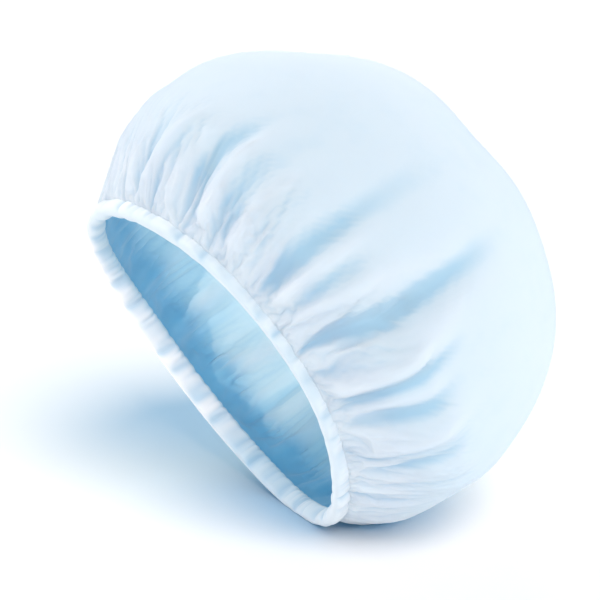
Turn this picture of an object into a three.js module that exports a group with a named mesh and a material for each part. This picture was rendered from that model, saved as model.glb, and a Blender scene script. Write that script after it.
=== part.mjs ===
// A shampoo cap: a round of soft fabric puffed up into a crown and gathered on to an elastic hem.
// It lies on its side, as it settles when it is put down, on the underside of its crown and on the
// low edge of its hem. +Z is up and z = 0 is the floor. The opening faces -X and a little down.
import * as THREE from 'three';

const { degToRad, euclideanModulo, smoothstep } = THREE.MathUtils;
const TURN = 2 * Math.PI;

// ---- Driving dimensions: mm, and degrees where the name says so ----
const AXIS_TILT_DEG = 31.4; // the cap's axis above the floor, going from the opening to the crown
const CROWN_RADIUS = 122; // half of the crown's width where it is fullest
const CROWN_DEPTH = 167.5; // along the axis, from the opening to the top of the crown
const FULLEST_AT = 48; // where the crown is fullest, along the axis from the opening
const FLARE_POWER = 1.7; // how squarely the crown puffs out above the hem; 2 is a round arc
const DOME_POWER = 2.3; // how squarely the crown closes over its top
const CROWN_LIFT = 1.3; // how far the crown's middle stands above the hem's
const SIDE_DROOP = 5.6; // how far the crown's sides hang below its middle
const FABRIC = 1.2; // the fabric's thickness
const HEM_REACH = 94; // the hem's usual distance from the axis
const HEM_WIDE = 9.2; // the hem's usual width along the axis
const HEM_THICK = 8; // the hem's thickness, outside to inside
const HEM_POWER = 2.5; // how squarely the padded hem fills its width and thickness
const SEAM_GAP = 0.3; // between the hem and the crown's gathered edge
const PRESSED_FLAT = 1.6; // how far the floor presses the low edge of the hem flat
const GATHERS = 24; // gathers round the hem
const GATHER_DEPTH = 1.1; // how far a gather stands out of the crown
const GATHER_HEIGHT = 42; // how far up the crown the gathers run
const FOLD_FADES_FROM = 0.25; // the share of its run after which a fold dies out
const PUCKER_DEPTH = 0.5; // how far a gather dents the hem
const GATHER_START = 9; // how far above the hem's edge gathers and folds reach their full depth

// ---- Facets ----
const COLUMNS = 120; // round the hem and the lower crown; halved twice towards the top
const CROWN_ROWS = 17; // from the hem to the top of the crown
const FLARE_SHARE = 0.36; // the share of the rows that stand on the flare above the hem
const HALVED_FROM_ROW = 10;
const QUARTERED_FROM_ROW = 14;
const ROW_CROWDING = 1.25; // above 1, the rows stand closer together near the hem
const HEM_SIDES = 10;
const NUDGE = 1e-3; // a small step that shows which way a surface faces

// The hem's ring. It is measured round from the floor side (0 degrees) by the far side (90) to the
// top (180). reach is from the axis, shift is along the axis, and wide is the hem's width there.
const HEM_ROWS = [
  { at: 0, reach: 94.7, shift: -6.3, wide: 10.9 },
  { at: 45, reach: 99.3, shift: -6.0, wide: 12.4 },
  { at: 90, reach: 99.1, shift: -6.4, wide: 12.2 },
  { at: 135, reach: 98.2, shift: -9.1, wide: 10.1 },
  { at: 180, reach: 94.8, shift: -1.9, wide: 7.6 },
  { at: 225, reach: 89.0, shift: 6.7, wide: 6.2 },
  { at: 270, reach: 84.2, shift: 7.2, wide: 6.2 },
  { at: 315, reach: 85.2, shift: -1.4, wide: 8.2 },
];

// The crown's broad swells, and its slack places where out is below 0: where each is, round and
// along the axis, and how far it stands out.
const SWELL_ROWS = [
  { at: 150, along: 14, out: -4.2 },
  { at: 172, along: 75, out: 1.3 },
  { at: 180, along: 122, out: -3.4 },
  { at: 200, along: 149, out: 1.0 },
  { at: 232, along: 158, out: -2.5 },
  { at: 285, along: 148, out: -0.9 },
  { at: 318, along: 66, out: 0.9 },
  { at: 322, along: 42, out: -3.0 },
  { at: 355, along: 28, out: 2.2 },
];
const SWELL_ROUND = 22; // a swell's half width round the crown
const SWELL_ALONG = 10; // its half width along the axis next to the hem
const SWELL_GROWTH = 0.1; // how much of its distance up the crown is added to that

// The deep folds that the gathers leave in the crown, going round. at is where the fold leaves the
// hem, lean is how many degrees it turns by its far end, run is how far up the crown that end is,
// half is its half width, and deep is its depth, below 0 for a ridge.
const FOLD_ROWS = [
  { at: 14, lean: 4, run: 60, half: 8, deep: 3.0 },
  { at: 33, lean: 2, run: 78, half: 9, deep: 3.6 },
  { at: 50, lean: -2, run: 72, half: 6, deep: -3.4 },
  { at: 64, lean: -3, run: 84, half: 9, deep: 3.8 },
  { at: 84, lean: 2, run: 66, half: 8, deep: 3.0 },
  { at: 103, lean: -2, run: 80, half: 8, deep: 3.6 },
  { at: 122, lean: -4, run: 62, half: 8, deep: 3.0 },
  { at: 141, lean: -3, run: 72, half: 8, deep: 3.2 },
  { at: 162, lean: 4, run: 64, half: 7, deep: 2.8 },
  { at: 188, lean: 13, run: 52, half: 5, deep: -2.0 },
  { at: 204, lean: 7, run: 66, half: 6, deep: 3.0 },
  { at: 212, lean: 2, run: 66, half: 5, deep: -2.0 },
  { at: 222, lean: 3, run: 72, half: 6, deep: -2.0 },
  { at: 235, lean: 2, run: 112, half: 7, deep: 3.6 },
  { at: 240, lean: 0, run: 66, half: 4, deep: -2.2 },
  { at: 247, lean: 1, run: 72, half: 5, deep: -2.4 },
  { at: 254, lean: 4, run: 116, half: 7, deep: 5.0 },
  { at: 267, lean: -4, run: 76, half: 6, deep: -3.4 },
  { at: 273, lean: -6, run: 68, half: 5, deep: 3.0 },
  { at: 281, lean: -7, run: 60, half: 5, deep: 3.0 },
  { at: 290, lean: -10, run: 62, half: 6, deep: -2.6 },
  { at: 301, lean: -12, run: 46, half: 5, deep: 2.8 },
  { at: 323, lean: -5, run: 52, half: 6, deep: 2.4 },
  { at: 342, lean: -2, run: 48, half: 7, deep: 2.0 },
];

// ---- The cap's own frame: x down across the cap, y to its far side, z along its axis ----
const tilt = degToRad(AXIS_TILT_DEG);
const capFrame = new THREE.Matrix4().makeBasis(
  new THREE.Vector3(Math.sin(tilt), 0, -Math.cos(tilt)),
  new THREE.Vector3(0, 1, 0),
  new THREE.Vector3(Math.cos(tilt), 0, Math.sin(tilt)),
);

function inRoom(down, side, along) {
  return new THREE.Vector3(down, side, along).applyMatrix4(capFrame);
}

// A value of the hem's table at any angle, on a smooth curve through the rows.
function hemValue(key, angle) {
  const place = euclideanModulo(angle / TURN, 1) * HEM_ROWS.length;
  const row = Math.floor(place);
  const part = place - row;
  const [a, b, c, d] = [-1, 0, 1, 2].map(
    (step) => HEM_ROWS[euclideanModulo(row + step, HEM_ROWS.length)][key],
  );
  const slopeB = (c - a) / 2;
  const slopeC = (d - b) / 2;
  const square = part * part;
  const cube = square * part;
  return (2 * cube - 3 * square + 1) * b + (cube - 2 * square + part) * slopeB
    + (3 * square - 2 * cube) * c + (cube - square) * slopeC;
}

// The degrees from one angle to another, between -180 and 180.
function degreesBetween(from, angle) {
  return euclideanModulo(THREE.MathUtils.radToDeg(angle) - from + 180, 360) - 180;
}

// How far the gathers stand out at an angle, from -1 to 1. They aren't quite evenly spaced.
function gatherWave(angle) {
  return Math.cos(GATHERS * angle + 1.1 * Math.sin(3 * angle) + 0.7 * Math.sin(5 * angle + 1));
}

// The hem: a padded ring. turn goes round its section, from the outside towards the crown.
function hemPoint(angle, turn) {
  const puff = 1 - (PUCKER_DEPTH / HEM_THICK) * (1 - gatherWave(angle));
  const corner = (value) => Math.sign(value) * Math.abs(value) ** (2 / HEM_POWER);
  const wide = hemValue('wide', angle);
  const out = hemValue('reach', angle) + (HEM_THICK / 2) * puff * corner(Math.cos(turn));
  const along = hemValue('shift', angle) + (wide / 2) * (1 + corner(Math.sin(turn)));
  return inRoom(out * Math.cos(angle), out * Math.sin(angle), along);
}

// The crown's side view: two quarter superellipses, out from the hem to the fullest ring and then
// in over the top. part goes from 0 at the hem to 1 at the top.
function meridian(part) {
  if (part < FLARE_SHARE) {
    const angle = (part / FLARE_SHARE) * (Math.PI / 2);
    return {
      out: HEM_REACH + (CROWN_RADIUS - HEM_REACH) * Math.sin(angle) ** (2 / FLARE_POWER),
      along: FULLEST_AT - (FULLEST_AT - HEM_WIDE) * Math.cos(angle) ** (2 / FLARE_POWER),
    };
  }
  const angle = ((part - FLARE_SHARE) / (1 - FLARE_SHARE)) * (Math.PI / 2);
  return {
    out: CROWN_RADIUS * Math.max(Math.cos(angle), 0) ** (2 / DOME_POWER),
    along: FULLEST_AT + (CROWN_DEPTH - FULLEST_AT) * Math.sin(angle) ** (2 / DOME_POWER),
  };
}

// How far swells, folds and gathers move the fabric outwards at a place on the crown.
function fabricMove(angle, out, along, aboveHem) {
  let move = 0;
  for (const swell of SWELL_ROWS) {
    const round = (degToRad(degreesBetween(swell.at, angle)) * out) / SWELL_ROUND;
    const up = (along - swell.along) / (SWELL_ALONG + SWELL_GROWTH * swell.along);
    move += swell.out * Math.exp(-(round * round + up * up));
  }
  for (const fold of FOLD_ROWS) {
    const gone = aboveHem / fold.run;
    const middle = fold.at + fold.lean * gone;
    const round = (degToRad(degreesBetween(middle, angle)) * out) / fold.half;
    move -= fold.deep * Math.exp(-round * round) * (1 - smoothstep(gone, FOLD_FADES_FROM, 1));
  }
  move += GATHER_DEPTH * gatherWave(angle) * (1 - smoothstep(aboveHem, 0, GATHER_HEIGHT));
  return move * smoothstep(aboveHem, 0, GATHER_START);
}

// A point on the crown's outside.
function crownPoint(angle, part) {
  const { out, along } = meridian(part);
  const before = meridian(Math.max(part - NUDGE, 0));
  const after = meridian(Math.min(part + NUDGE, 1));
  const facing = new THREE.Vector2(after.along - before.along, before.out - after.out).normalize();
  const free = smoothstep(along, HEM_WIDE, FULLEST_AT);
  const held = 1 - free;
  const hemTop = hemValue('shift', angle) + hemValue('wide', angle);
  const baseOut = out + held * (hemValue('reach', angle) - HEM_REACH);
  const baseAlong = along + held * (hemTop - HEM_WIDE) + SEAM_GAP;
  const move = fabricMove(angle, baseOut, baseAlong, along - HEM_WIDE);
  const fullOut = baseOut + move * facing.x;
  const droop = SIDE_DROOP * free * (fullOut / CROWN_RADIUS) ** 2 * Math.cos(2 * angle);
  return inRoom(
    fullOut * Math.cos(angle) - CROWN_LIFT * free - droop,
    fullOut * Math.sin(angle),
    baseAlong + move * facing.y,
  );
}

// The point one fabric thickness inside the crown. At the hem it stays level with the edge.
function crownInside(angle, part) {
  const along = new THREE.Vector3().setFromMatrixColumn(capFrame, 2);
  const point = crownPoint(angle, part);
  if (part === 0) {
    const outwards = inRoom(Math.cos(angle), Math.sin(angle), 0);
    return point.addScaledVector(outwards, -FABRIC);
  }
  if (part === 1) {
    return point.addScaledVector(along, -FABRIC);
  }
  const round = crownPoint(angle + NUDGE, part).sub(crownPoint(angle - NUDGE, part));
  const upper = crownPoint(angle, Math.min(part + NUDGE, 1));
  const facing = round.cross(upper.sub(crownPoint(angle, part - NUDGE))).normalize();
  return point.addScaledVector(facing, -FABRIC);
}

// The faces between two neighbouring rings of points. Their counts are equal, or one has twice the
// other's, or one is a single point at a pole.
function facesBetween(lower, upper) {
  const a = (k) => lower.first + (k % lower.count);
  const b = (k) => upper.first + (k % upper.count);
  const faces = [];
  for (let k = 0; k < Math.max(lower.count, upper.count); k += 1) {
    const half = Math.floor(k / 2);
    const odd = k % 2;
    if (lower.count === 1) {
      faces.push(a(0), b(k + 1), b(k));
    } else if (upper.count === 1) {
      faces.push(a(k), a(k + 1), b(0));
    } else if (lower.count === upper.count) {
      faces.push(a(k), a(k + 1), b(k), a(k + 1), b(k + 1), b(k));
    } else if (lower.count > upper.count) {
      faces.push(a(k), a(k + 1), b(half + odd));
      if (odd) faces.push(a(k), b(half + 1), b(half));
    } else {
      faces.push(a(half + odd), b(k + 1), b(k));
      if (odd) faces.push(a(half), a(half + 1), b(k));
    }
  }
  return faces;
}

// A closed skin over a chain of rings of points, each ring counted the same way round.
function skin(rings, joinEnds) {
  let count = 0;
  const spans = rings.map((ring) => {
    count += ring.length;
    return { first: count - ring.length, count: ring.length };
  });
  const pairs = spans.slice(1).map((upper, k) => [spans[k], upper]);
  if (joinEnds) pairs.push([spans[spans.length - 1], spans[0]]);
  const geometry = new THREE.BufferGeometry().setFromPoints(rings.flat());
  geometry.setIndex(pairs.flatMap(([lower, upper]) => facesBetween(lower, upper)));
  geometry.computeVertexNormals();
  return geometry;
}

function ringOf(columns, pointAt) {
  return Array.from({ length: columns }, (_, k) => pointAt((k / columns) * TURN));
}

// ---- The pieces ----
function hemRings() {
  const turns = Array.from({ length: HEM_SIDES }, (_, k) => ((k + 0.5) / HEM_SIDES) * TURN);
  return turns.map((turn) => ringOf(COLUMNS, (angle) => hemPoint(angle, turn)));
}

function crownRings(pointAt) {
  const rows = Array.from({ length: CROWN_ROWS + 1 }, (_, row) => row);
  return rows.map((row) => {
    const part = (row / CROWN_ROWS) ** ROW_CROWDING;
    if (row === CROWN_ROWS) return [pointAt(0, 1)];
    const halvings = (row >= HALVED_FROM_ROW ? 1 : 0) + (row >= QUARTERED_FROM_ROW ? 1 : 0);
    return ringOf(COLUMNS / 2 ** halvings, (angle) => pointAt(angle, part));
  });
}

// The floor presses flat what would hang below it.
function pressOn(rings, level) {
  for (const point of rings.flat()) point.z = Math.max(point.z, level);
}

function fabricMaterial(color) {
  return new THREE.MeshStandardMaterial({
    color, roughness: 0.7, metalness: 0, side: THREE.DoubleSide,
  });
}

function makeCap() {
  const hem = hemRings();
  const outside = crownRings(crownPoint);
  const inside = crownRings(crownInside);
  const floor = Math.min(...hem.flat().map((point) => point.z)) + PRESSED_FLAT;
  pressOn(hem, floor);
  pressOn(outside, floor);
  pressOn(inside, floor + FABRIC);

  const crownMesh = new THREE.Mesh(
    skin([...inside.reverse(), ...outside], false),
    fabricMaterial('#cfe5f5'),
  );
  crownMesh.name = 'crown';
  const hemMesh = new THREE.Mesh(skin(hem, true), fabricMaterial('#e4f1fa'));
  hemMesh.name = 'hem_band';

  // The origin is on the floor, under the middle of the cap.
  const cap = new THREE.Group();
  cap.add(crownMesh, hemMesh);
  const middle = new THREE.Box3().setFromObject(cap).getCenter(new THREE.Vector3());
  for (const mesh of cap.children) mesh.position.set(-middle.x, -middle.y, -floor);
  return cap;
}

export default makeCap();
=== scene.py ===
"""A shampoo cap: a round of soft nonwoven puffed up into a crown and gathered on to a padded hem.

Lengths in the shape functions are in millimetres, in the cap's own frame: down across the cap,
side to its far side, along its axis from the opening to the top of the crown.
"""

import math

import bpy
import numpy as np
from bpy.props import FloatProperty, FloatVectorProperty, PointerProperty
from bpy.types import Operator, Panel, PropertyGroup
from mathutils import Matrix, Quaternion, Vector


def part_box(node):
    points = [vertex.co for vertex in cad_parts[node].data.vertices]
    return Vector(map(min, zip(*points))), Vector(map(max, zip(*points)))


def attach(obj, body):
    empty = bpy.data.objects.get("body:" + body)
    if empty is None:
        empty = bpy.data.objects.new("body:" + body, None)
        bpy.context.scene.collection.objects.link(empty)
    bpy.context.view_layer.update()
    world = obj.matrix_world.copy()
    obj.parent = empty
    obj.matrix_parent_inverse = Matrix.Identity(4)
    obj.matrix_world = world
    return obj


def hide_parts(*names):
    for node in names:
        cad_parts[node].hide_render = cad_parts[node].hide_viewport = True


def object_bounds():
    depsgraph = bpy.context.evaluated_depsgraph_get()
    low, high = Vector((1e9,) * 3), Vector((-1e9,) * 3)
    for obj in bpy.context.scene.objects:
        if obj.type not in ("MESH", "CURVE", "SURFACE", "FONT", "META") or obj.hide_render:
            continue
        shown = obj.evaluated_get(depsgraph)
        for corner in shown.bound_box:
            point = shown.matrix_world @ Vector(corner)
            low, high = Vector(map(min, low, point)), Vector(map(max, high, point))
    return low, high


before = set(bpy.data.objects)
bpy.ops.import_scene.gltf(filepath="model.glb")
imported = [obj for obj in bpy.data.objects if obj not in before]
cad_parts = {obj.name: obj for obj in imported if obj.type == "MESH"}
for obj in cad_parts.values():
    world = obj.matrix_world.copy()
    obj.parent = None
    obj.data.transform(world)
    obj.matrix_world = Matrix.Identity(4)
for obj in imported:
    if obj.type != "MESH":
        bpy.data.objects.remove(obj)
CAD_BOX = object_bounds()

bl_info = {
    "name": "Shampoo cap",
    "version": (1, 0, 0),
    "blender": (4, 5, 0),
    "location": "View3D > Sidebar > Shampoo cap",
    "description": "Makes a puffed-up nonwoven shampoo cap with a gathered elastic hem",
    "category": "Object",
}

TURN = 2 * math.pi
MM = 0.001

# ---- The cap's main shape, in mm: the same values as its solids have ----
AXIS_TILT = math.radians(31.4)  # the cap's axis above the floor
CROWN_RADIUS = 122  # half of the crown's width where it is fullest
CROWN_DEPTH = 167.5  # along the axis, from the opening to the top of the crown
FULLEST_AT = 48  # where the crown is fullest, along the axis
FLARE_POWER = 1.7  # how squarely the crown puffs out above the hem; 2 is a round arc
DOME_POWER = 2.3  # how squarely the crown closes over its top
FLARE_SHARE = 0.36  # the share of a side view's points that stand on the flare
CROWN_LIFT = 1.3  # how far the crown's middle stands above the hem's
SIDE_DROOP = 5.6  # how far the crown's sides hang below its middle
HEM_REACH = 94  # the hem's usual distance from the axis
HEM_WIDE = 9.2  # the hem's usual width along the axis
HEM_THICK = 8  # the hem's thickness, outside to inside
HEM_POWER = 2.5  # how squarely the padded hem fills its width and thickness
SEAM_GAP = 0.3  # between the hem and the crown's solid
GATHERS = 24  # broad gathers round the hem
GATHER_DEPTH = 1.1  # how far a broad gather stands out of the crown
GATHER_HEIGHT = 42  # how far up the crown the broad gathers run
FOLD_FADES_FROM = 0.25  # the share of its run after which a fold dies out
GATHER_DENT = 0.5  # how far a broad gather dents the hem
GATHER_START = 9  # how far above the hem's edge the folds reach their full depth
NUDGE = 1e-3  # a small step that shows which way a surface faces

# The hem's ring, every 45 degrees from the floor side (0) by the far side (90) to the top (180):
# its reach from the axis, its shift along the axis, and its width.
HEM_REACHES = (94.7, 99.3, 99.1, 98.2, 94.8, 89.0, 84.2, 85.2)
HEM_SHIFTS = (-6.3, -6.0, -6.4, -9.1, -1.9, 6.7, 7.2, -1.4)
HEM_WIDTHS = (10.9, 12.4, 12.2, 10.1, 7.6, 6.2, 6.2, 8.2)

# The crown's broad swells, and its slack places where the last number is below 0: degrees round,
# mm along the axis, and mm out.
SWELLS = (
    (150, 14, -4.2),
    (172, 75, 1.3),
    (180, 122, -3.4),
    (200, 149, 1.0),
    (232, 158, -2.5),
    (285, 148, -0.9),
    (318, 66, 0.9),
    (322, 42, -3.0),
    (355, 28, 2.2),
)
SWELL_ROUND = 22  # a swell's half width round the crown
SWELL_ALONG = 10  # its half width along the axis next to the hem
SWELL_GROWTH = 0.1  # how much of its distance up the crown is added to that

# The deep folds in the crown: the degrees where each leaves the hem, how many degrees it turns by
# its far end, how far up the crown that end is, its half width, its depth, below 0 for a ridge,
# and how many times as deep it is in the thin fabric as in the solid.
FOLDS = (
    (14, 4, 60, 8, 3.0, 1.6),
    (33, 2, 78, 9, 3.6, 1.6),
    (50, -2, 72, 6, -3.4, 1.6),
    (64, -3, 84, 9, 3.8, 1.6),
    (84, 2, 66, 8, 3.0, 1.6),
    (103, -2, 80, 8, 3.6, 1.6),
    (122, -4, 62, 8, 3.0, 1.6),
    (141, -3, 72, 8, 3.2, 1.6),
    (162, 4, 64, 7, 2.8, 1.6),
    (188, 13, 52, 5, -2.0, 1.8),
    (204, 7, 66, 6, 3.0, 1.6),
    (212, 2, 66, 5, -2.0, 1.6),
    (222, 3, 72, 6, -2.0, 1.6),
    (235, 2, 112, 7, 3.6, 0.9),
    (240, 0, 66, 4, -2.2, 1.6),
    (247, 1, 72, 5, -2.4, 1.6),
    (254, 4, 116, 7, 5.0, 2.0),
    (267, -4, 76, 6, -3.4, 1.8),
    (273, -6, 68, 5, 3.0, 1.6),
    (281, -7, 60, 5, 3.0, 1.6),
    (290, -10, 62, 6, -2.6, 1.6),
    (301, -12, 46, 5, 2.8, 1.6),
    (323, -5, 52, 6, 2.4, 1.6),
    (342, -2, 48, 7, 2.0, 1.6),
)

# ---- The fabric's fine shape, in mm ----
# How many columns stand round the crown below each distance up the fabric, and the step between
# rows there. Each count is half of the one before, and eight columns make a pucker at the hem.
CROWN_ROWS = ((30, 896, 1.25), (100, 448, 2.0), (200, 224, 2.8), (236, 112, 2.7), (999, 56, 3.4))
HEM_COLUMNS = 1344
HEM_SIDES = 28
PUCKERS = 112  # fine puckers round the hem, where the elastic draws in the fabric
PUCKER_SPREAD = 0.28  # how unevenly they are spaced
PUCKER_SPREAD_WAVES = range(3, 34)  # the waves round the cap that space them unevenly
PUCKER_LEAN = 0.05  # how much more unevenly they are spaced with each mm up the fabric
PUCKER_LEAN_WAVES = (3, 18, 31)  # the lowest and highest wave of that, and its seed

# The puckers join two by two into wider ones further up the fabric, in three bands. join is how
# many fine puckers make one, and height is theirs. rises says between which distances up the
# fabric they grow, and fades from where and over about which length they die out. The others say
# how uneven their sideways drift, their height and their length are: how much, the lowest and
# highest wave of that round the cap, and its seed.
PUCKER_BANDS = (
    {"join": 1, "height": 0.60, "rises": (0, 1.5), "fades": (3, 10),
     "drift": (0, 2, 20, 45), "uneven_height": (0.35, 8, 60, 41),
     "uneven_length": (0.35, 5, 30, 42)},
    {"join": 2, "height": 0.95, "rises": (1, 8), "fades": (9, 24),
     "drift": (0.7, 2, 20, 45), "uneven_height": (0.45, 5, 40, 43),
     "uneven_length": (0.4, 4, 24, 44)},
    {"join": 4, "height": 0.9, "rises": (4, 16), "fades": (16, 50),
     "drift": (1, 2, 10, 48), "uneven_height": (0.5, 4, 20, 46),
     "uneven_length": (0.45, 3, 14, 47)},
)
VALLEY_ROUND = 0.04  # how round the bottom of a pucker's valley is
SEAM_TURN = math.radians(52)  # where the crown's edge is sewn on round the hem's section
SEAM_TUCK = 0.8  # how far it is sewn into the hem
SEAM_RUN = 12  # how far up the fabric the seam shapes the crown
HEM_SHOULDER = 1.5  # how much squarer the hem is on its outside next to the crown

# The hem's puckers and the lumps of its padding. A lean is how far their wave turns round the
# hem's section, sunk is the height of the wave at which they leave the hem as it is, and a size
# says the usual one, the least, the most, how uneven it is, the waves of that and its seed.
HEM_PUCKER_LEAN = 0.5
HEM_PUCKER_SIZE = (0.8, 0.1, 2, 0.7, 8, 60, 41)
HEM_PUCKER_OUT = 0.36  # how far they stand out
HEM_PUCKER_OUT_SUNK = 0.4
HEM_PUCKER_ALONG = 0.35  # how far they reach towards the crown
HEM_PUCKER_ALONG_SUNK = 0.8
HEM_LUMP = 1.1  # how far the lumps stand out
HEM_LUMP_SUNK = 0.5
HEM_LUMP_JOIN = 3  # how many fine puckers a lump is wide
HEM_LUMP_DRIFT = (2, 26, 61)  # the lowest and highest wave of its drift, and its seed
HEM_LUMP_LEAN = 0.6
HEM_LUMP_LEAN_START = 0.8
HEM_LUMP_SIZE = (0.75, 0.1, 1.8, 0.5, 3, 30, 62)
HEM_SWELL = (0.3, 4, 18, 63)  # how far its long swells stand out, their waves and their seed
HEM_THIN = 0.5  # its casing is folded double, so half as much light passes through it

LINING_CLEAR = 0.35  # the least room between the outside and the lining
LINING_BRIDGES = 14  # how many times the lining is evened out next to the hem
LINING_BRIDGED_RUN = (2, 26)  # this fades from the first distance up the fabric to the second
LINING_CLEAR_COLUMNS = 3  # how many columns to each side the lining stays clear of
FLOOR_SOFT = 0.3  # how softly the fabric bends where it starts to touch the floor
RUN_POINTS = 4001  # how many points measure the crown's side view
FOLD_CALM = 7.0  # about a third of the width of a broad fold
FOLD_SHADE_FULL = 1.6  # how far below or above its calm shape the fabric has its full painted shade in its folds or painted highlight on its ridges
HEM_FOLD_SHADE_FULL = 0.7  # the same for the hem's casing
GATHERED_SHADE_RUN = (18, 42)  # the gathered colour, painted shade next to the hem, is full up to the first distance up the fabric and gone from the last; less light passes through there too
OUTSIDE_GATHERED_SHADE = 0.5  # how much of the gathered colour, a painted shade at the seam, shows outside
OUTSIDE_SHADE_PATCHES = (1, 6, 50, 52)  # how uneven that painted shade is there, the waves of that and its seed
LINING_SHEEN = 0.4

# ---- The elastic draws in the fabric: a cloth simulation, on a grid of its own ----
CLOTH_COLUMNS = 448
CLOTH_STEP = 1.7  # between rows
CLOTH_TOP = 110  # how far up the fabric it reaches
CLOTH_SLACK = 0.20  # how much wider the fabric is at the hem than the hem holds it
CLOTH_SLACK_RUN = 60  # how far up the fabric that slack reaches
CLOTH_HOLD = 0.15  # how firmly the fabric is held to its main shape next to the hem, up to 1
CLOTH_HOLD_UP = 4  # how many times as firmly it is held at the top, less one
CLOTH_DRAW_FRAMES = 16
CLOTH_FRAMES = 24
CLOTH_STEEPEST = 0.15  # the least share of its length that each step of it rises at the start
CLOTH_MOST = 6  # the most that the simulation may move a point
CLOTH_MOST_AT_HEM = 0.2  # the same at the hem
CLOTH_MOST_GROWTH = 0.3  # how much of the distance up the fabric is added to that
CLOTH_FADES = (80, 104)  # its movement fades from the first distance up the fabric to the second

# ---- The stage, in metres and degrees ----
VIEW_TURN = -26.05  # the camera's place round the cap
VIEW_RAISED = 12
VIEW_AWAY = 0.6907
VIEW_AIM = (-0.01878, -0.00945, -0.00111)  # where it looks, from the middle of the cap
SNOOT_AIM = (0.0, 0.11, 0.073)  # the place on the lining that the snooted lamp is aimed at
SNOOT_FROM = (-35, 12)  # turned from the camera's side, and raised
SNOOT_AWAY = 1.5
SNOOT_ANGLE = 6
SNOOT_EDGE = 0.8  # how soft the edge of its oval is, up to 1
SNOOT_RADIUS = 0.01
SNOOT_ROLL = 37  # how far its oval is turned
SNOOT_NARROW = 0.5  # the oval's width against its length
SNOOT_COLOUR = (1.0, 0.55, 0.35)
FLOOR_REACH = 40000  # in mm: half of the floor's width
FLOOR_BELOW = 0.1  # in mm: how far the floor lies below the cap
HORIZON = (0.02, 0.1)  # the room turns from white to the sky between these heights; 1 is overhead
HORIZON_WHITE = 1.1
SKY_COLOUR = (0.68, 0.88, 1.0)
WARM, WARMER = (1.0, 0.90, 0.86), (1.0, 0.88, 0.83)  # the light on the cap

# The broad lights: the degrees that each is turned from the camera's side to its right, raised and
# spread, which of the stage's values gives its strength and how many times that, its colour, and
# what it lights.
SOFTBOXES = (
    ("front light", 9, 22, 55, "key", 1, WARM, "cap"),
    ("right rim light", 108, 17, 60, "rims", 1, WARMER, "cap"),
    ("left rim light", -116, 36, 60, "rims", 1, WARMER, "cap"),
    ("back light", 180, 30, 60, "rims", 0.19, WARMER, "cap"),
    ("opening light", -25, 8, 20, "opening", 1, WARM, "cap"),
    ("floor light", 20, 40, 34, "floor_light", 1, (1.0, 0.54, 0.31), "floor"),
    ("floor back light", -150, 50, 60, "floor_light", 0.2, (1.0, 0.77, 0.53), "floor"),
    ("floor fill light", 10, 30, 140, "floor_fill", 1, (0.2, 0.55, 1.0), "floor"),
)


def linear(code):
    """An sRGB hex colour as the linear colour that shaders take."""
    parts = [int(code[k:k + 2], 16) / 255 for k in (1, 3, 5)]
    return tuple(v / 12.92 if v <= 0.04045 else ((v + 0.055) / 1.055) ** 2.4 for v in parts)


def smoothstep(value, low, high):
    share = np.clip((value - low) / (high - low), 0, 1)
    return share * share * (3 - 2 * share)


# ---- Shape functions ----
def own_frame(down, side, along):
    """Points in the cap's own frame."""
    return np.stack(np.broadcast_arrays(down, side, along), axis=-1).astype(float)


def in_room(points):
    """Points of the cap's own frame, turned as it lies on the floor."""
    return points @ np.array([[math.sin(AXIS_TILT), 0, -math.cos(AXIS_TILT)], [0, 1, 0],
                              [math.cos(AXIS_TILT), 0, math.sin(AXIS_TILT)]])


def curve_through(values, place, closed):
    """Values at any places along a row of given ones, on a smooth curve through them."""
    values = np.asarray(values, float)
    count = len(values)
    row = np.floor(place).astype(int)
    part = (place - row).reshape(place.shape + (1,) * (values.ndim - 1))
    steps = [(row + k) % count if closed else np.clip(row + k, 0, count - 1)
             for k in (-1, 0, 1, 2)]
    a, b, c, d = (values[step] for step in steps)
    square = part * part
    cube = square * part
    return ((2 * cube - 3 * square + 1) * b + (cube - 2 * square + part) * (c - a) / 2
            + (3 * square - 2 * cube) * c + (cube - square) * (d - b) / 2)


def hem_value(values, angle):
    """A value of the hem's table at any angle."""
    return curve_through(values, angle / TURN % 1 * len(values), True)


def degrees_between(start, angle):
    """The degrees from one place round the cap to another, between -180 and 180."""
    return (np.degrees(angle) - start + 180) % 360 - 180


def gather_wave(angle):
    """How far the broad gathers stand out at an angle, from -1 to 1."""
    return np.cos(GATHERS * angle + 1.1 * np.sin(3 * angle) + 0.7 * np.sin(5 * angle + 1))


def uneven_round(angle, lowest, highest, seed):
    """A seeded uneven line round the cap, usually between -1 and 1."""
    draws = np.random.default_rng(seed)
    waves = np.arange(lowest, highest + 1)
    sizes = draws.normal(size=len(waves))
    starts = draws.uniform(0, TURN, len(waves))
    line = sum(size * np.cos(wave * angle + start)
               for wave, size, start in zip(waves, sizes, starts))
    return line / math.sqrt(2 * (sizes ** 2).sum())


def uneven_by(angle, amount, lowest, highest, seed):
    """The same line, times an amount."""
    return amount * uneven_round(angle, lowest, highest, seed)


def uneven_size(angle, usual, least, most, *uneven):
    """A size that is uneven round the cap, between the least and the most."""
    return np.clip(usual + uneven_by(angle, *uneven), least, most)


def puffed(wave):
    """Turns a plain wave into cloth: round on top and sharp in its valleys."""
    return 2 * np.sqrt((1 - VALLEY_ROUND) * (1 + wave) / 2 + VALLEY_ROUND) - 1


def pucker_phase(angle):
    """Where a place stands in the run of fine puckers, a whole turn for each pucker."""
    draws = np.random.default_rng(7)
    phase = PUCKERS * angle
    for wave in PUCKER_SPREAD_WAVES:
        size = PUCKER_SPREAD * PUCKERS / wave / math.sqrt(len(PUCKER_SPREAD_WAVES) / 2)
        phase = phase + size * draws.normal() * np.cos(wave * angle + draws.uniform(0, TURN))
    return phase


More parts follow.
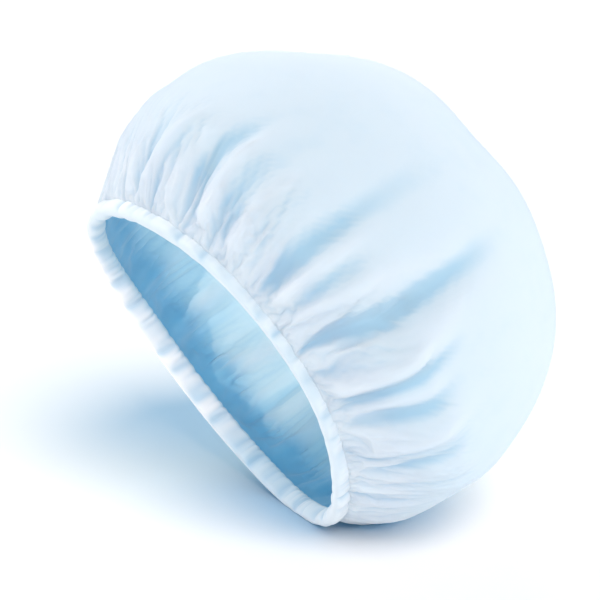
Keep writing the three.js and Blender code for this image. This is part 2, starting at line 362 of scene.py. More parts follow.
def meridian(part):
    """The crown's side view: how far out and how far along, for a part from 0 to 1."""
    low = np.clip(part / FLARE_SHARE, 0, 1) * math.pi / 2
    high = np.clip((part - FLARE_SHARE) / (1 - FLARE_SHARE), 0, 1) * math.pi / 2
    flare = part < FLARE_SHARE
    out = np.where(flare,
                   HEM_REACH + (CROWN_RADIUS - HEM_REACH) * np.sin(low) ** (2 / FLARE_POWER),
                   CROWN_RADIUS * np.maximum(np.cos(high), 0) ** (2 / DOME_POWER))
    along = np.where(flare,
                     FULLEST_AT - (FULLEST_AT - HEM_WIDE) * np.cos(low) ** (2 / FLARE_POWER),
                     FULLEST_AT + (CROWN_DEPTH - FULLEST_AT) * np.sin(high) ** (2 / DOME_POWER))
    return out, along


def swells_and_folds(angle, out, along, above_hem):
    """How far the broad swells, the deep folds and the broad gathers move the fabric outwards."""
    move = 0
    for at, middle, height in SWELLS:
        round_it = np.radians(degrees_between(at, angle)) * out / SWELL_ROUND
        up = (along - middle) / (SWELL_ALONG + SWELL_GROWTH * middle)
        move = move + height * np.exp(-(round_it ** 2 + up ** 2))
    for at, lean, run, half, deep, sharper in FOLDS:
        gone = above_hem / run
        round_it = np.radians(degrees_between(at + lean * gone, angle)) * out / half
        fades = 1 - smoothstep(gone, FOLD_FADES_FROM, 1)
        move = move - sharper * deep * np.exp(-round_it ** 2) * fades
    move = move + GATHER_DEPTH * gather_wave(angle) * (1 - smoothstep(above_hem, 0, GATHER_HEIGHT))
    return move * smoothstep(above_hem, 0, GATHER_START)


def puckers(angle, up):
    """How far the puckers move the fabric outwards at a distance up from the hem."""
    phase = pucker_phase(angle) + PUCKER_LEAN * up * uneven_round(angle, *PUCKER_LEAN_WAVES)
    move = 0
    for band in PUCKER_BANDS:
        wave = puffed(np.cos(phase / band["join"] + uneven_by(angle, *band["drift"])))
        height = band["height"] * (1 + uneven_by(angle, *band["uneven_height"]))
        start, length = band["fades"]
        end = start + length * (1 + uneven_by(angle, *band["uneven_length"]))
        move = move + (height * wave * smoothstep(up, *band["rises"])
                       * (1 - smoothstep(up, start, end)))
    return move


def crown_points(angle, part, up, fine):
    """Points on the crown's outside, in the cap's own frame. up is how far up the fabric they are
    from the hem, and fine adds the puckers."""
    out, along = meridian(part)
    out_before, along_before = meridian(np.maximum(part - NUDGE, 0))
    out_after, along_after = meridian(np.minimum(part + NUDGE, 1))
    facing_out = along_after - along_before
    facing_along = out_before - out_after
    length = np.hypot(facing_out, facing_along)
    facing_out, facing_along = facing_out / length, facing_along / length
    free = smoothstep(along, HEM_WIDE, FULLEST_AT)
    held = 1 - free
    hem_top = hem_value(HEM_SHIFTS, angle) + hem_value(HEM_WIDTHS, angle)
    base_out = out + held * (hem_value(HEM_REACHES, angle) - HEM_REACH)
    base_along = along + held * (hem_top - HEM_WIDE) + SEAM_GAP
    if fine:
        seam_out, seam_along = hem_section(angle, SEAM_TURN, True)
        seam_out = seam_out - SEAM_TUCK * math.cos(SEAM_TURN)
        seam_along = seam_along - SEAM_TUCK * math.sin(SEAM_TURN)
        sewn = 1 - smoothstep(up, 0, SEAM_RUN)
        base_out = base_out + sewn * (seam_out - hem_value(HEM_REACHES, angle))
        base_along = base_along + sewn * (seam_along - hem_top - SEAM_GAP)
    move = swells_and_folds(angle, base_out, base_along, along - HEM_WIDE)
    if fine:
        move = move + puckers(angle, up)
    full_out = base_out + move * facing_out
    droop = SIDE_DROOP * free * (full_out / CROWN_RADIUS) ** 2 * np.cos(2 * angle)
    return own_frame(full_out * np.cos(angle) - CROWN_LIFT * free - droop,
                     full_out * np.sin(angle), base_along + move * facing_along)


def hem_section(angle, turn, fine):
    """How far out and how far along a place on the padded hem is. turn goes round its section,
    from the outside towards the crown, and fine adds its lumps and puckers."""
    power = HEM_POWER
    if fine:
        shoulder = 2 * np.maximum(np.cos(turn), 0) * np.maximum(np.sin(turn), 0)
        power = power + HEM_SHOULDER * shoulder

    def corner(value):
        return np.sign(value) * np.abs(value) ** (2 / power)

    puff = 1 - GATHER_DENT / HEM_THICK * (1 - gather_wave(angle))
    wide = hem_value(HEM_WIDTHS, angle)
    across = HEM_THICK / 2 * puff
    if fine:
        wave = puffed(np.cos(pucker_phase(angle) + HEM_PUCKER_LEAN * np.sin(turn)))
        size = uneven_size(angle, *HEM_PUCKER_SIZE) * (0.5 + 0.5 * np.sin(turn))
        across = across + HEM_PUCKER_OUT * size * (wave - HEM_PUCKER_OUT_SUNK)
        wide = wide + HEM_PUCKER_ALONG * size * (wave - HEM_PUCKER_ALONG_SUNK)
        # The padding under the casing is lumpy, and the casing is drawn in between the lumps.
        wave = puffed(np.cos(pucker_phase(angle) / HEM_LUMP_JOIN
                             + uneven_round(angle, *HEM_LUMP_DRIFT)
                             + HEM_LUMP_LEAN * np.sin(turn + HEM_LUMP_LEAN_START)))
        lumps = HEM_LUMP * uneven_size(angle, *HEM_LUMP_SIZE) * (wave - HEM_LUMP_SUNK)
        lumps = lumps + uneven_by(angle, *HEM_SWELL)
        across = across + lumps * (0.7 - 0.3 * np.sin(turn))
        wide = wide + lumps * (1 - np.sin(turn)) / 2
    out = hem_value(HEM_REACHES, angle) + across * corner(np.cos(turn))
    along = hem_value(HEM_SHIFTS, angle) + wide / 2 * (1 + corner(np.sin(turn)))
    return out, along


def hem_points(angle, turn, fine):
    """Points on the padded hem, in the cap's own frame."""
    out, along = hem_section(angle, turn, fine)
    return own_frame(out * np.cos(angle), out * np.sin(angle), along)


def placed_in_room():
    """From the cap's own frame to where its solids are: a shift, whose height puts the hem's top
    at the top of its solid.
    """
    angle = np.linspace(0, TURN, 721)[None, :]
    turn = np.linspace(0, TURN, 121)[:, None]
    plain = in_room(hem_points(angle, turn, False)).reshape(-1, 3)
    low, high = (np.array(corner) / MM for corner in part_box("hem_band"))
    shift = (low + high) / 2 - (plain.min(0) + plain.max(0)) / 2
    shift[2] = high[2] - plain[:, 2].max()
    return shift


def fabric_run():
    """How far up the fabric each of many even parts of the crown's side view is."""
    parts = np.linspace(0, 1, RUN_POINTS)
    out, along = meridian(parts)
    return parts, np.concatenate([[0], np.cumsum(np.hypot(np.diff(out), np.diff(along)))])


# ---- The cloth simulation ----
def wide_shape(plain, up):
    """The fabric before it is drawn in: its rings are wider, and its steps up are as long."""
    slack = CLOTH_SLACK * (1 - np.clip(up / CLOTH_SLACK_RUN, 0, 1))
    wide = plain.copy()
    wide[..., :2] *= 1 + slack[..., None]
    for row in range(1, len(up)):
        step = np.linalg.norm(plain[row] - plain[row - 1], axis=-1)
        outwards = np.linalg.norm(wide[row, :, :2] - wide[row - 1, :, :2], axis=-1)
        rise = np.sqrt(np.maximum(step ** 2 - outwards ** 2, (CLOTH_STEEPEST * step) ** 2))
        wide[row, :, 2] = wide[row - 1, :, 2] + rise
    return wide


def drawn_in(scene):
    """How far the fabric moves from its main shape as the elastic draws it in, in mm, on the
    simulation's grid."""
    parts, run = fabric_run()
    up = np.arange(0, CLOTH_TOP + CLOTH_STEP, CLOTH_STEP)[:, None]
    angle = (np.arange(CLOTH_COLUMNS) / CLOTH_COLUMNS * TURN)[None, :]
    part = np.interp(up, run, parts)
    held = crown_points(angle, part, up, True)
    wide = wide_shape(crown_points(angle, part, up, False), up)
    rows = len(up)
    faces = []
    for row in range(rows - 1):
        faces += band_faces(row * CLOTH_COLUMNS, CLOTH_COLUMNS, (row + 1) * CLOTH_COLUMNS,
                            CLOTH_COLUMNS)
    mesh = bpy.data.meshes.new("slack fabric")
    mesh.from_pydata((wide.reshape(-1, 3) * MM).tolist(), [], faces)
    fabric = bpy.data.objects.new("slack fabric", mesh)
    scene.collection.objects.link(fabric)
    fabric.shape_key_add(name="Basis")
    key = fabric.shape_key_add(name="drawn in", from_mix=False)
    key.data.foreach_set("co", (held * MM).astype(np.float32).ravel())
    for frame_number, value in ((1, 0), (CLOTH_DRAW_FRAMES, 1)):
        key.value = value
        key.keyframe_insert("value", frame=frame_number)
    hold = fabric.vertex_groups.new(name="hold")
    for row in range(rows):
        # The two rows at the hem and the three at the top are held fast.
        fast = row < 2 or row > rows - 4
        share = 1 if fast else CLOTH_HOLD * (1 + CLOTH_HOLD_UP * row / (rows - 1))
        hold.add(range(row * CLOTH_COLUMNS, (row + 1) * CLOTH_COLUMNS), share, "REPLACE")
    cloth = fabric.modifiers.new("cloth", "CLOTH")
    for name, value in (
        ("quality", 6), ("mass", 0.01), ("air_damping", 1), ("bending_model", "ANGULAR"),
        ("tension_stiffness", 15), ("compression_stiffness", 15), ("shear_stiffness", 5),
        ("bending_stiffness", 0.01), ("tension_damping", 1), ("compression_damping", 1),
        ("shear_damping", 1), ("bending_damping", 0.02), ("vertex_group_mass", "hold"),
    ):
        setattr(cloth.settings, name, value)
    cloth.settings.effector_weights.gravity = 0
    cloth.collision_settings.use_collision = False
    cloth.point_cache.frame_start = 1
    cloth.point_cache.frame_end = CLOTH_FRAMES
    for frame_number in range(1, CLOTH_FRAMES + 1):
        scene.frame_set(frame_number)
    done = fabric.evaluated_get(bpy.context.evaluated_depsgraph_get())
    points = np.zeros(held.size, np.float32)
    done.data.vertices.foreach_get("co", points)
    if not np.isfinite(points).all():
        raise RuntimeError("the cloth simulation failed")
    scene.frame_set(1)
    action = key.id_data.animation_data.action
    bpy.data.objects.remove(fabric)
    bpy.data.meshes.remove(mesh)
    bpy.data.actions.remove(action)
    return points.reshape(held.shape) / MM - held


def moved_by_cloth(move, angle, up):
    """The simulation's movement at any places, kept within its limits."""
    there = curve_through(move, np.minimum(up[:, 0], CLOTH_TOP) / CLOTH_STEP, False)
    there = curve_through(there.swapaxes(0, 1), angle[0] / TURN * CLOTH_COLUMNS, True)
    there = there.swapaxes(0, 1)
    size = np.linalg.norm(there, axis=-1)
    most = np.minimum(CLOTH_MOST, CLOTH_MOST_AT_HEM + CLOTH_MOST_GROWTH * up)
    share = np.minimum(1, most / np.maximum(size, 1e-9)) * (1 - smoothstep(up, *CLOTH_FADES))
    return there * share[..., None]


# ---- Mesh functions ----
def on_floor(points, height):
    """The floor presses flat what would hang below it, with a soft edge round that place."""
    above = points[..., 2] - height
    points[..., 2] = height + (above + np.sqrt(above ** 2 + FLOOR_SOFT ** 2)) / 2
    return points


def band_faces(first_a, count_a, first_b, count_b):
    """The faces between two rings of points. Their counts are equal, or the second ring has half
    of the first's, or is a single point."""
    faces = []
    for k in range(count_a):
        a, a_next = first_a + k, first_a + (k + 1) % count_a
        if count_b == 1:
            faces.append((a, a_next, first_b))
        elif count_a == count_b:
            faces.append((a, a_next, first_b + (k + 1) % count_b, first_b + k))
        else:
            half, odd = divmod(k, 2)
            faces.append((a, a_next, first_b + (half + odd) % count_b))
            if odd:
                faces.append((a, first_b + (half + 1) % count_b, first_b + half))
    return faces


def vertex_normals(points, faces):
    """The way the surface faces at each point."""
    triangles = np.array([f[:3] for f in faces]
                         + [(f[0], f[2], f[3]) for f in faces if len(f) == 4])
    a, b, c = (points[triangles[:, k]] for k in range(3))
    facing = np.cross(b - a, c - a)
    total = np.zeros_like(points)
    for k in range(3):
        np.add.at(total, triangles[:, k], facing)
    return total / np.maximum(np.linalg.norm(total, axis=1, keepdims=True), 1e-12)


def mesh_object(name, points, faces, materials, material_of_face):
    """A smooth-shaded object from points in mm, linked to the scene."""
    mesh = bpy.data.meshes.new(name)
    mesh.from_pydata((points * MM).tolist(), [], faces)
    if mesh.validate():
        raise RuntimeError(f"{name} has faces that can't be drawn")
    for material in materials:
        mesh.materials.append(material)
    mesh.polygons.foreach_set("material_index", material_of_face)
    mesh.polygons.foreach_set("use_smooth", np.ones(len(faces), bool))
    mesh.update()
    made = bpy.data.objects.new(name, mesh)
    bpy.context.scene.collection.objects.link(made)
    return made


def add_values(piece, name, values):
    """Gives each of a piece's points a number of its own, for its material."""
    layer = piece.data.attributes.new(name, "FLOAT", "POINT")
    layer.data.foreach_set("value", np.asarray(values, np.float32))


def calmed(ring, width):
    """A ring of points in mm without its waves that are narrower than about six times width."""
    radius = np.linalg.norm(np.roll(ring, -1, axis=0) - ring, axis=1).sum() / TURN
    waves = np.fft.rfft(ring, axis=0)
    kept = np.exp(-(np.arange(len(waves)) * width / radius) ** 2 / 2)
    return np.fft.irfft(waves * kept[:, None], len(ring), axis=0)


def crown_rings(move):
    """The rings of points on the crown's outside, from the hem to the top, and how far up the
    fabric each of them stands. move is how the simulation moves the fabric."""
    parts, run = fabric_run()
    shift = placed_in_room()
    heights, counts = [0.0], [CROWN_ROWS[0][1]]
    for top, count, step in CROWN_ROWS:
        while heights[-1] + step < min(top, run[-1] - 1):
            heights.append(heights[-1] + step)
            counts.append(count)
    rings = []
    for count in sorted(set(counts), reverse=True):
        up = np.array([h for h, c in zip(heights, counts) if c == count])[:, None]
        angle = (np.arange(count) / count * TURN)[None, :]
        points = crown_points(angle, np.interp(up, run, parts), up, True)
        if move is not None:
            points = points + moved_by_cloth(move, angle, up)
        rings += list(in_room(points) + shift)
    rings.append(in_room(crown_points(np.zeros(1), np.ones(1), run[-1:], True)) + shift)
    heights.append(run[-1])
    return [on_floor(ring, 0) for ring in rings], heights


def ring_by_ring(values, rings):
    """Values of all points, taken apart into those of each ring."""
    return np.split(values, np.cumsum([len(ring) for ring in rings])[:-1])


def fold_values(rings, faces):
    """How deep each point lies in the folds, up to 1, or on their ridges, down to -1: the mask of
    the painted shade in the folds and the painted highlight on the ridges.
    """
    calm = np.concatenate([calmed(ring, FOLD_CALM) if len(ring) > 1 else ring for ring in rings])
    deep = ((calm - np.concatenate(rings)) * vertex_normals(calm, faces)).sum(1)
    return np.concatenate([part - part.mean() for part in ring_by_ring(deep, rings)]) / FOLD_SHADE_FULL


def lining_points(rings, heights, faces, thick):
    """The lining's points, under those of the outside. The lining bridges the finest puckers, and
    stays clear of the outside in their valleys."""
    bridged = []
    for height, ring in zip(heights, rings):
        times = LINING_BRIDGES * (1 - smoothstep(height, *LINING_BRIDGED_RUN))
        for _ in range(int(round(times))):
            ring = (np.roll(ring, 1, axis=0) + 2 * ring + np.roll(ring, -1, axis=0)) / 4
        bridged.append(ring)
    inside = np.concatenate(bridged)
    facing = vertex_normals(inside, faces)
    edge = len(rings[0])
    angle = np.arange(edge) / edge * TURN
    facing[:edge] = in_room(own_frame(np.cos(angle), np.sin(angle), 0))
    sunk = ((inside - np.concatenate(rings)) * facing).sum(1)
    near = range(-LINING_CLEAR_COLUMNS, LINING_CLEAR_COLUMNS + 1)
    depth = np.concatenate([np.max([np.roll(part, k) for k in near], axis=0)
                            for part in ring_by_ring(sunk, rings)])
    depth = np.maximum(thick, depth + LINING_CLEAR)
    depth[:edge] = thick
    return on_floor(inside - depth[:, None] * facing, thick)


# ---- Materials ----
def add_node(tree, kind, settings=None, links=None):
    """Adds one node. settings are its own values and those of its inputs, by name or number, and
    links say which outputs feed its inputs."""
    node = tree.nodes.new(kind)
    for key, value in (settings or {}).items():
        if isinstance(key, int) or key in node.inputs:
            node.inputs[key].default_value = value
        else:
            setattr(node, key, value)
    for key, output in (links or {}).items():
        tree.links.new(output, node.inputs[key])
    return node


def new_material(name):
    material = bpy.data.materials.new(name)
    material.use_nodes = True
    material.node_tree.nodes.clear()
    return material


def spunbond_polypropylene(name, ridge_highlight, colour, fold_shade, gathered, through, thin, sheen=1.0):
    """Spunbond polypropylene, point-bonded and calendered: a soft, silky nonwoven that scatters
    light evenly, lets some through, and turns whiter where it is seen at a low angle. Its colour
    has painted highlights on the ridges of its folds and painted shade in them, and painted shade
    where it is gathered next to the hem, where less light passes through it.
    thin is the share of light that may pass through it."""
    material = new_material(name)
    tree = material.node_tree
    place = add_node(tree, "ShaderNodeTexCoord").outputs["Object"]
    # Spun fibres lie unevenly, which shows as clouds about 12 mm wide in the colour.
    clouds = add_node(tree, "ShaderNodeTexNoise", {"Scale": 1 / 0.012, "Detail": 4.0},
                      {"Vector": place})
    # Painted shade and highlight: the colour turns deeper the further a point lies in the folds
    # and paler on their ridges, with the clouds mixed in.
    painted_fold_shade = add_node(tree, "ShaderNodeAttribute", {"attribute_name": "painted_fold_shade"})
    clouds_and_fold_depth = add_node(tree, "ShaderNodeMath", {"operation": "MULTIPLY_ADD", 1: 0.5},
                      {0: clouds.outputs[0], 2: painted_fold_shade.outputs["Fac"]})
    tint = add_node(tree, "ShaderNodeMapRange", {"From Min": -0.75, "From Max": 1.25},
                    {"Value": clouds_and_fold_depth.outputs[0]})
    clouds_and_fold_shade = add_node(tree, "ShaderNodeValToRGB", links={"Fac": tint.outputs[0]})
    clouds_and_fold_shade.color_ramp.elements[0].color = (*ridge_highlight, 1)
    clouds_and_fold_shade.color_ramp.elements[1].color = (*fold_shade, 1)
    clouds_and_fold_shade.color_ramp.elements.new(0.5).color = (*colour, 1)
    # Painted shade: the gathered colour darkens the fabric next to the hem, where less light
    # passes through it too.
    gathered_shade = add_node(tree, "ShaderNodeAttribute", {"attribute_name": "gathered"})
    base = add_node(tree, "ShaderNodeMix", {"data_type": "RGBA", 7: (*gathered, 1)},
                    {0: gathered_shade.outputs["Fac"], 6: clouds_and_fold_shade.outputs[0]})
    # The bond points stand 1.6 mm apart, and the fibres between them are drawn 0.4 mm wide, about
    # ten times their real width, so that they show.
    bonds = add_node(tree, "ShaderNodeTexVoronoi", {"Scale": 1 / 0.0016}, {"Vector": place})
    fibres = add_node(tree, "ShaderNodeTexNoise", {"Scale": 1 / 0.0004, "Detail": 2.0},
                      {"Vector": place})
    relief = add_node(tree, "ShaderNodeMath", {"operation": "MULTIPLY_ADD", 1: 0.35},
                      {0: fibres.outputs[0], 2: bonds.outputs["Distance"]})
    bump = add_node(tree, "ShaderNodeBump", {"Strength": 0.12, "Distance": 0.0001},
                    {"Height": relief.outputs[0]})
    shader = add_node(tree, "ShaderNodeBsdfPrincipled",
                      {"Roughness": 0.6, "IOR": 1.49, "Specular IOR Level": 0.2,
                       "Sheen Weight": sheen, "Sheen Roughness": 0.8,
                       "Sheen Tint": (1, 1, 1, 1)},
                      {"Base Color": base.outputs[2], "Normal": bump.outputs[0]})
    glow = add_node(tree, "ShaderNodeBsdfTranslucent", {"Color": (*through, 1)})
    passing = add_node(tree, "ShaderNodeMapRange", {"To Min": thin, "To Max": 0.4 * thin},
                       {"Value": gathered_shade.outputs["Fac"]})
    both = add_node(tree, "ShaderNodeMixShader",
                    links={0: passing.outputs[0], 1: shader.outputs[0], 2: glow.outputs[0]})
    add_node(tree, "ShaderNodeOutputMaterial", links={"Surface": both.outputs[0]})
    return material


def painted_floor(name, colour):
    """A matt painted floor: even and pale, with no shine."""
    material = new_material(name)
    tree = material.node_tree
    place = add_node(tree, "ShaderNodeTexCoord").outputs["Object"]
    # A roller leaves very slight clouds about 60 mm wide.
    clouds = add_node(tree, "ShaderNodeTexNoise", {"Scale": 1 / 0.06, "Detail": 2.0},
                      {"Vector": place})
    tint = add_node(tree, "ShaderNodeMapRange", {"To Min": 0.0, "To Max": 0.04},
                    {"Value": clouds.outputs[0]})
    base = add_node(tree, "ShaderNodeMix",
                    {"data_type": "RGBA", 6: (*colour, 1), 7: (*(v * 0.9 for v in colour), 1)},
                    {0: tint.outputs[0]})
    shader = add_node(tree, "ShaderNodeBsdfPrincipled",
                      {"Roughness": 0.9, "Specular IOR Level": 0.1},
                      {"Base Color": base.outputs[2]})
    add_node(tree, "ShaderNodeOutputMaterial", links={"Surface": shader.outputs[0]})
    return material


# ---- What a user would change ----
def colour_value(name, description, code):
    return FloatVectorProperty(name=name, description=description, size=3, subtype="COLOR",
                               min=0, max=1, default=linear(code))


class CapFabric(PropertyGroup):
    thickness: FloatProperty(
        name="Thickness", description="The fabric's thickness", default=0.0012, min=0.0004,
        max=0.003, unit="LENGTH")
    outside: colour_value("Outside", "The crown's colour outside", "#eff1f1")
    # Painted light: the colours for the ridges are painted highlights, and those for the folds
    # painted shade in them.
    outside_ridge_highlight: colour_value("Outside, ridges", "Its colour on the ridges of its folds",
                                "#fbf9f7")
    outside_fold_shade: colour_value("Outside, folds", "Its colour in its folds", "#a6c9dc")
    # The colours for gathering are painted shade next to the hem.
    outside_gathered_shade: colour_value("Outside, gathered", "Its colour where it is gathered",
                                   "#cfe0e9")
    # The lining's colours are the same fabric painted deeper blue: painted shade inside the crown.
    lining: colour_value("Lining", "The crown's colour inside", "#bce6f4")
    lining_ridge_highlight: colour_value("Lining, ridges", "Its colour on the ridges of its folds",
                               "#d4f0fa")
    lining_fold_shade: colour_value("Lining, folds", "Its colour in its folds", "#80c8e6")
    lining_gathered_shade: colour_value("Lining, gathered", "Its colour where it is gathered",
                                  "#50abd3")
    hem: colour_value("Hem", "The hem's colour", "#c8dce8")
    # The hem's colours on and between its lumps are painted highlight and painted shade.
    hem_lump_highlight: colour_value("Hem, ridges", "Its colour on its lumps", "#dfebf2")
    hem_fold_shade: colour_value("Hem, folds", "Its colour between its lumps", "#93bed8")
    through: colour_value("Light through it", "The colour of light that passes through",
                          "#d8ebf4")
    thin: FloatProperty(name="Thinness", description="The share of light that may pass through",
                        default=0.5, min=0, max=1, subtype="FACTOR")


class CapStage(PropertyGroup):
    floor: colour_value("Floor", "The floor's colour", "#b9d9ee")
    key: FloatProperty(name="Front light", description="The front light's strength", default=1.9,
                       min=0)
    rims: FloatProperty(name="Rim lights", description="The strength of the lights beside and "
                        "behind the cap", default=2.75, min=0)
    opening: FloatProperty(name="Opening light", description="The strength of the light that "
                           "shines into the opening", default=0.5, min=0)
    snoot: FloatProperty(name="Snoot light", description="The strength of the lamp on the lining",
                         default=84, min=0)
    floor_light: FloatProperty(name="Floor light", description="The floor light's strength",
                               default=7.8, min=0)
    floor_fill: FloatProperty(name="Floor fill light", description="The strength of the light in "
                              "the cap's shadow", default=1.45, min=0)
    sky: FloatProperty(name="Sky", description="How bright the surroundings are", default=0.4,
                       min=0)
    view_angle: FloatProperty(name="View angle", description="The camera's field of view",
                              default=math.radians(24), min=0.05, max=2, subtype="ANGLE")


# ---- Operators ----
def from_view(turned, raised):
    """A direction in degrees: turned from the camera's side towards its right, and raised."""
    turned, raised = math.radians(turned + VIEW_TURN), math.radians(raised)
    return Vector((math.sin(turned) * math.cos(raised), -math.cos(turned) * math.cos(raised),
                   math.sin(raised)))


def aimed(scene, name, data, place, towards, roll=0):
    """Adds a light or a camera that looks back along a direction, rolled by a few degrees."""
    made = bpy.data.objects.new(name, data)
    made.location = place
    made.rotation_euler = ((-towards).to_track_quat("-Z", "Y")
                           @ Quaternion((0, 0, 1), math.radians(roll))).to_euler()
    scene.collection.objects.link(made)
    return made


class CAP_OT_crown(Operator):
    """Make the crown, gathered above the hem"""
    bl_idname = "cap.crown"
    bl_label = "Make crown"

    def execute(self, context):
        fabric = context.scene.cap_fabric
        rings, heights = crown_rings(drawn_in(context.scene))
        firsts = np.concatenate([[0], np.cumsum([len(ring) for ring in rings])])
        faces = []
        for k in range(len(rings) - 1):
            faces += band_faces(int(firsts[k]), len(rings[k]), int(firsts[k + 1]),
                                len(rings[k + 1]))
        outside = np.concatenate(rings)
        inside = lining_points(rings, heights, faces, fabric.thickness / MM)
        count, edge = len(outside), len(rings[0])
        rim = [(count + k, count + (k + 1) % edge, (k + 1) % edge, k) for k in range(edge)]
        lining = [tuple(count + v for v in reversed(face)) for face in faces]
        fabrics = [
            spunbond_polypropylene(
                "spunbond nonwoven, outside", fabric.outside_ridge_highlight, fabric.outside,
                fabric.outside_fold_shade, fabric.outside_gathered_shade, fabric.through, fabric.thin),
            # The lining's material is painted deeper, as shade inside the crown.
            spunbond_polypropylene(
                "spunbond nonwoven, lining, painted shade", fabric.lining_ridge_highlight, fabric.lining,
                fabric.lining_fold_shade, fabric.lining_gathered_shade, fabric.through, fabric.thin,
                sheen=LINING_SHEEN),
        ]
        crown = mesh_object("crown_fabric", np.concatenate([outside, inside]),
                            faces + lining + rim, fabrics,
                            [0] * len(faces) + [1] * len(lining) + [0] * len(rim))
        # Painted shade in the folds and painted highlight on their ridges, by how deep each point
        # lies; on the lining the sign is turned.
        painted_fold_shade = fold_values(rings, faces)
        add_values(crown, "painted_fold_shade", np.concatenate([painted_fold_shade, -painted_fold_shade]))
        # Painted shade next to the hem: full on the lining, and in uneven patches at the seam
        # outside.
        gathered_shade = np.concatenate([np.full(len(ring), 1 - smoothstep(height, *GATHERED_SHADE_RUN))
                                  for height, ring in zip(heights, rings)])
        shade_patches = np.concatenate([
            uneven_size(np.arange(len(ring)) / len(ring) * TURN, 0.5, 0, 1, *OUTSIDE_SHADE_PATCHES)
            for ring in rings])
        add_values(crown, "gathered",
                   np.concatenate([gathered_shade ** 4 * shade_patches * OUTSIDE_GATHERED_SHADE, gathered_shade]))
        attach(crown, "root")
        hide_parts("crown")
        return {"FINISHED"}


class CAP_OT_hem(Operator):
    """Make the padded hem with its puckers"""
    bl_idname = "cap.hem"
    bl_label = "Make hem"

    def execute(self, context):
        fabric = context.scene.cap_fabric
        angle = (np.arange(HEM_COLUMNS) / HEM_COLUMNS * TURN)[None, :]
        turn = ((np.arange(HEM_SIDES) + 0.5) / HEM_SIDES * TURN)[:, None]
        rings = on_floor(in_room(hem_points(angle, turn, True)) + placed_in_room(), 0)
        faces = []
        for k in range(HEM_SIDES):
            faces += band_faces(k * HEM_COLUMNS, HEM_COLUMNS,
                                (k + 1) % HEM_SIDES * HEM_COLUMNS, HEM_COLUMNS)
        casing = spunbond_polypropylene("spunbond nonwoven, hem casing", fabric.hem_lump_highlight,
                                        fabric.hem, fabric.hem_fold_shade, fabric.hem_fold_shade,
                                        fabric.through, HEM_THIN * fabric.thin)
        hem = mesh_object("hem_casing", rings.reshape(-1, 3), faces, [casing], [0] * len(faces))
        # Painted shade between the hem's lumps and painted highlight on them, by how far each
        # point lies below the calmed hem.
        deep = [calmed(ring, FOLD_CALM) - ring for ring in rings]
        facing = vertex_normals(rings.reshape(-1, 3), faces).reshape(rings.shape)
        add_values(hem, "painted_fold_shade", ((deep * facing).sum(-1) / HEM_FOLD_SHADE_FULL).ravel())
        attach(hem, "root")
        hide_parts("hem_band")
        # The round is 522 mm across. Its outer 15 mm are folded over the elastic as the hem.
        return {"FINISHED"}


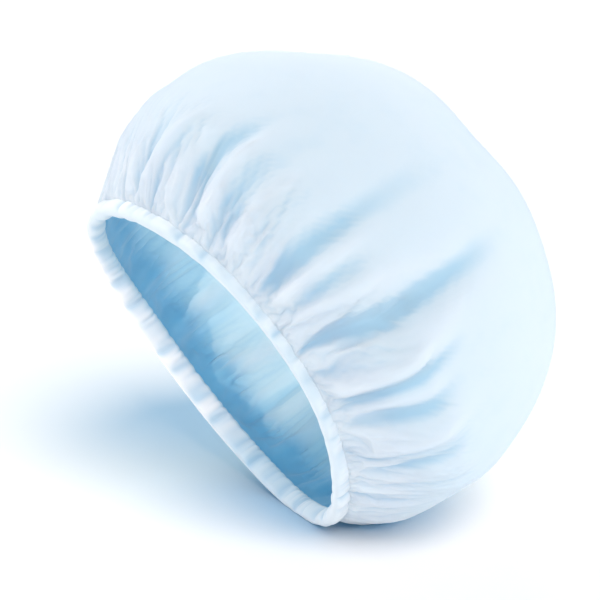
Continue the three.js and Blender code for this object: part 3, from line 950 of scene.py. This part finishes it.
class CAP_OT_stage(Operator):
    """Make the floor, the lights and the camera"""
    bl_idname = "cap.stage"
    bl_label = "Make stage"

    def execute(self, context):
        scene = context.scene
        look = scene.cap_stage
        middle = (CAD_BOX[0] + CAD_BOX[1]) / 2
        corners = np.array([(x * FLOOR_REACH, y * FLOOR_REACH, -FLOOR_BELOW)
                            for x, y in ((-1, -1), (1, -1), (1, 1), (-1, 1))])
        floor = mesh_object("floor", corners, [(0, 1, 2, 3)],
                            [painted_floor("matt floor paint", look.floor)], [0])
        lit = {"cap": bpy.data.collections.new("lit with the cap"),
               "floor": bpy.data.collections.new("lit with the floor")}
        for name in ("crown_fabric", "hem_casing"):
            lit["cap"].objects.link(bpy.data.objects[name])
        lit["floor"].objects.link(floor)

        for name, turned, raised, spread, value, times, colour, what in SOFTBOXES:
            towards = from_view(turned, raised)
            light = bpy.data.lights.new(name, "SUN")
            light.angle = math.radians(spread)
            light.energy = times * getattr(look, value)
            light.color = colour
            made = aimed(scene, name, light, middle + towards, towards)
            made.light_linking.receiver_collection = lit[what]

        # A snooted lamp lights an oval of the lining through the opening.
        lamp = bpy.data.lights.new("snoot light", "SPOT")
        lamp.spot_size = math.radians(SNOOT_ANGLE)
        lamp.spot_blend = SNOOT_EDGE
        lamp.shadow_soft_size = SNOOT_RADIUS
        lamp.energy = look.snoot
        lamp.color = SNOOT_COLOUR
        towards = from_view(*SNOOT_FROM)
        snoot = aimed(scene, "snoot light", lamp, Vector(SNOOT_AIM) + SNOOT_AWAY * towards,
                      towards, SNOOT_ROLL)
        snoot.scale = (SNOOT_NARROW, 1, 1)
        snoot.light_linking.receiver_collection = lit["cap"]

        # The room is pale all round, and white where it meets the floor.
        world = bpy.data.worlds.new("pale room")
        world.use_nodes = True
        tree = world.node_tree
        across = add_node(tree, "ShaderNodeTexCoord").outputs["Generated"]
        height = add_node(tree, "ShaderNodeSeparateXYZ", links={0: across})
        above = add_node(tree, "ShaderNodeMapRange",
                         {"From Min": HORIZON[0], "From Max": HORIZON[1]},
                         {"Value": height.outputs["Z"]})
        sky = add_node(tree, "ShaderNodeMix",
                       {"data_type": "RGBA", 6: (*[HORIZON_WHITE] * 3, 1),
                        7: (*(v * look.sky for v in SKY_COLOUR), 1)},
                       {0: above.outputs[0]})
        tree.links.new(sky.outputs[2], tree.nodes["Background"].inputs["Color"])
        scene.world = world
        scene.view_settings.view_transform = "Standard"

        camera = bpy.data.cameras.new("camera")
        camera.angle = look.view_angle
        camera.clip_end = 200
        back = from_view(0, VIEW_RAISED)
        scene.camera = aimed(scene, "camera", camera, middle + Vector(VIEW_AIM) + VIEW_AWAY * back,
                             back)
        return {"FINISHED"}


class CAP_PT_panel(Panel):
    bl_label = "Shampoo cap"
    bl_idname = "CAP_PT_panel"
    bl_space_type = "VIEW_3D"
    bl_region_type = "UI"
    bl_category = "Shampoo cap"

    def draw(self, context):
        for group, operators in (
            (context.scene.cap_fabric, (CAP_OT_crown, CAP_OT_hem)),
            (context.scene.cap_stage, (CAP_OT_stage,)),
        ):
            box = self.layout.box()
            for key in group.bl_rna.properties.keys():
                if key not in ("rna_type", "name"):
                    box.prop(group, key)
            for operator in operators:
                box.operator(operator.bl_idname)


CLASSES = (CapFabric, CapStage, CAP_OT_crown, CAP_OT_hem, CAP_OT_stage, CAP_PT_panel)


def register():
    for cls in CLASSES:
        bpy.utils.register_class(cls)
    bpy.types.Scene.cap_fabric = PointerProperty(type=CapFabric)
    bpy.types.Scene.cap_stage = PointerProperty(type=CapStage)


def unregister():
    del bpy.types.Scene.cap_fabric
    del bpy.types.Scene.cap_stage
    for cls in reversed(CLASSES):
        bpy.utils.unregister_class(cls)


def main():
    register()
    bpy.ops.cap.crown()
    bpy.ops.cap.hem()
    bpy.ops.cap.stage()


if __name__ == "__main__":
    main()
